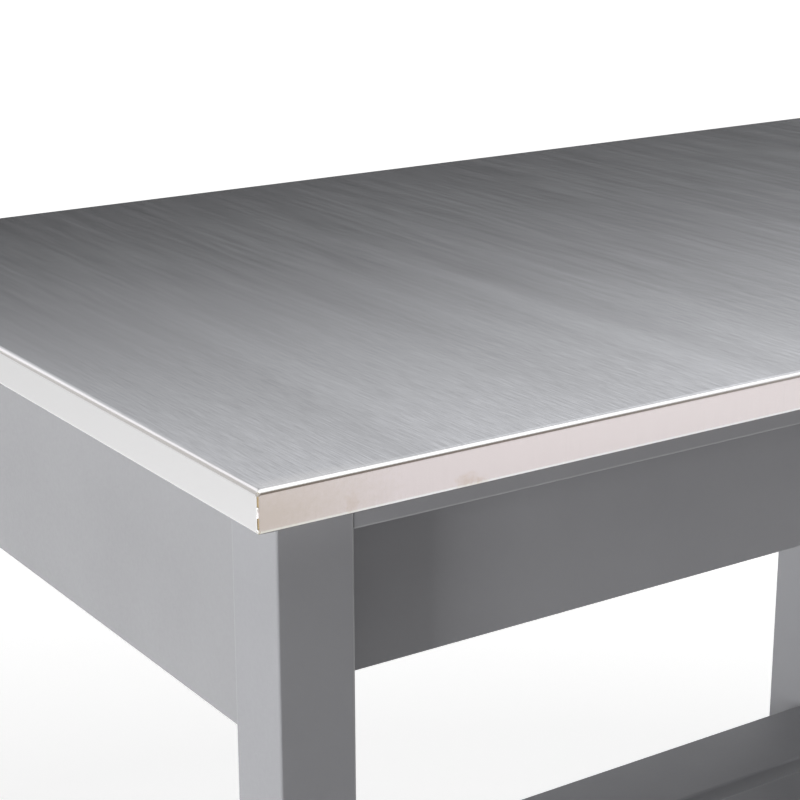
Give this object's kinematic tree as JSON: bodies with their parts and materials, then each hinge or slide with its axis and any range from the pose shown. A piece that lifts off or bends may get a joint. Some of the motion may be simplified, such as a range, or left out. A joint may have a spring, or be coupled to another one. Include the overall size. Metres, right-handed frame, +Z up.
{
  "type": "kitchen cart",
  "caption": "Kitchen cart with a folded stainless steel worktop on a grey painted frame, an inset drawer, slatted shelves and swivelling casters with brakes.",
  "frame": {"origin": "on the floor under the middle of the worktop", "axes": "+Z up, +X along the worktop's length to the right, +Y to the rear; the drawer opens towards -Y"},
  "size_m": [0.8, 0.5, 0.9],
  "materials": {
    "brushed_steel": "brushed stainless steel, grain along the depth",
    "grey_paint": "satin grey paint on board",
    "core_board": "bare fibreboard",
    "bare_wood": "bare hardwood",
    "zinc_plate": "bright zinc plate",
    "hub_plastic": "moulded plastic",
    "pedal_plastic": "moulded plastic",
    "grey_rubber": "grey rubber tread"
  },
  "bodies": {
    "frame": {"steel_top": "brushed_steel", "top_core": "core_board", "front_left_leg": "grey_paint", "front_right_leg": "grey_paint", "rear_left_leg": "grey_paint", "rear_right_leg": "grey_paint", "left_apron": "grey_paint", "right_apron": "grey_paint", "rear_apron": "grey_paint", "front_top_rail": "grey_paint", "upper_shelf_left_rail": "grey_paint", "upper_shelf_right_rail": "grey_paint", "upper_shelf_slat_1": "grey_paint", "upper_shelf_slat_2": "grey_paint", "upper_shelf_slat_3": "grey_paint", "upper_shelf_slat_4": "grey_paint", "upper_shelf_slat_5": "grey_paint", "lower_shelf_left_rail": "grey_paint", "lower_shelf_right_rail": "grey_paint", "lower_shelf_slat_1": "grey_paint", "lower_shelf_slat_2": "grey_paint", "lower_shelf_slat_3": "grey_paint", "lower_shelf_slat_4": "grey_paint", "lower_shelf_slat_5": "grey_paint", "left_runner": "bare_wood", "right_runner": "bare_wood", "front_left_caster_stem": "zinc_plate", "front_right_caster_stem": "zinc_plate", "rear_left_caster_stem": "zinc_plate", "rear_right_caster_stem": "zinc_plate", "leg_inserts": "zinc_plate", "dowels": "bare_wood", "cam_fittings": "zinc_plate", "wood_screws": "zinc_plate"},
    "drawer": {"drawer_front": "grey_paint", "drawer_left_side": "grey_paint", "drawer_right_side": "grey_paint", "drawer_back": "grey_paint", "drawer_bottom": "grey_paint", "drawer_stop": "bare_wood", "drawer_pull": "brushed_steel", "pull_screws": "zinc_plate"},
    "front_left_fork": {"front_left_caster_fork": "zinc_plate", "front_left_caster_axle": "zinc_plate"},
    "front_left_wheel": {"front_left_caster_hub": "hub_plastic", "front_left_caster_tyre": "grey_rubber"},
    "front_left_pedal": {"front_left_caster_brake": "pedal_plastic"},
    "front_right_fork": {"front_right_caster_fork": "zinc_plate", "front_right_caster_axle": "zinc_plate"},
    "front_right_wheel": {"front_right_caster_hub": "hub_plastic", "front_right_caster_tyre": "grey_rubber"},
    "front_right_pedal": {"front_right_caster_brake": "pedal_plastic"},
    "rear_left_fork": {"rear_left_caster_fork": "zinc_plate", "rear_left_caster_axle": "zinc_plate"},
    "rear_left_wheel": {"rear_left_caster_hub": "hub_plastic", "rear_left_caster_tyre": "grey_rubber"},
    "rear_right_fork": {"rear_right_caster_fork": "zinc_plate", "rear_right_caster_axle": "zinc_plate"},
    "rear_right_wheel": {"rear_right_caster_hub": "hub_plastic", "rear_right_caster_tyre": "grey_rubber"}
  },
  "joints": [
    {"name": "drawer_slide", "type": "slide", "parent": "frame", "child": "drawer", "axis": [0, -1, 0], "range_m": [0, 0.295]},
    {"name": "front_left_swivel", "type": "hinge", "parent": "frame", "child": "front_left_fork", "pos_m": [-0.3645, -0.2145, 0.0735], "axis": [0, 0, 1], "continuous": true},
    {"name": "front_left_wheel_spin", "type": "hinge", "parent": "front_left_fork", "child": "front_left_wheel", "pos_m": [-0.3425, -0.2145, 0.03], "axis": [0, 1, 0], "continuous": true},
    {"name": "front_left_brake", "type": "hinge", "parent": "front_left_fork", "child": "front_left_pedal", "pos_m": [-0.3315, -0.2145, 0.0665], "axis": [0, 1, 0], "range_deg": [0, 25]},
    {"name": "front_right_swivel", "type": "hinge", "parent": "frame", "child": "front_right_fork", "pos_m": [0.3645, -0.2145, 0.0735], "axis": [0, 0, 1], "continuous": true},
    {"name": "front_right_wheel_spin", "type": "hinge", "parent": "front_right_fork", "child": "front_right_wheel", "pos_m": [0.3425, -0.2145, 0.03], "axis": [0, 1, 0], "continuous": true},
    {"name": "front_right_brake", "type": "hinge", "parent": "front_right_fork", "child": "front_right_pedal", "pos_m": [0.3315, -0.2145, 0.0665], "axis": [0, -1, 0], "range_deg": [0, 25]},
    {"name": "rear_left_swivel", "type": "hinge", "parent": "frame", "child": "rear_left_fork", "pos_m": [-0.3645, 0.2145, 0.0735], "axis": [0, 0, 1], "continuous": true},
    {"name": "rear_left_wheel_spin", "type": "hinge", "parent": "rear_left_fork", "child": "rear_left_wheel", "pos_m": [-0.3425, 0.2145, 0.03], "axis": [0, 1, 0], "continuous": true},
    {"name": "rear_right_swivel", "type": "hinge", "parent": "frame", "child": "rear_right_fork", "pos_m": [0.3645, 0.2145, 0.0735], "axis": [0, 0, 1], "continuous": true},
    {"name": "rear_right_wheel_spin", "type": "hinge", "parent": "rear_right_fork", "child": "rear_right_wheel", "pos_m": [0.3425, 0.2145, 0.03], "axis": [0, 1, 0], "continuous": true}
  ]
}
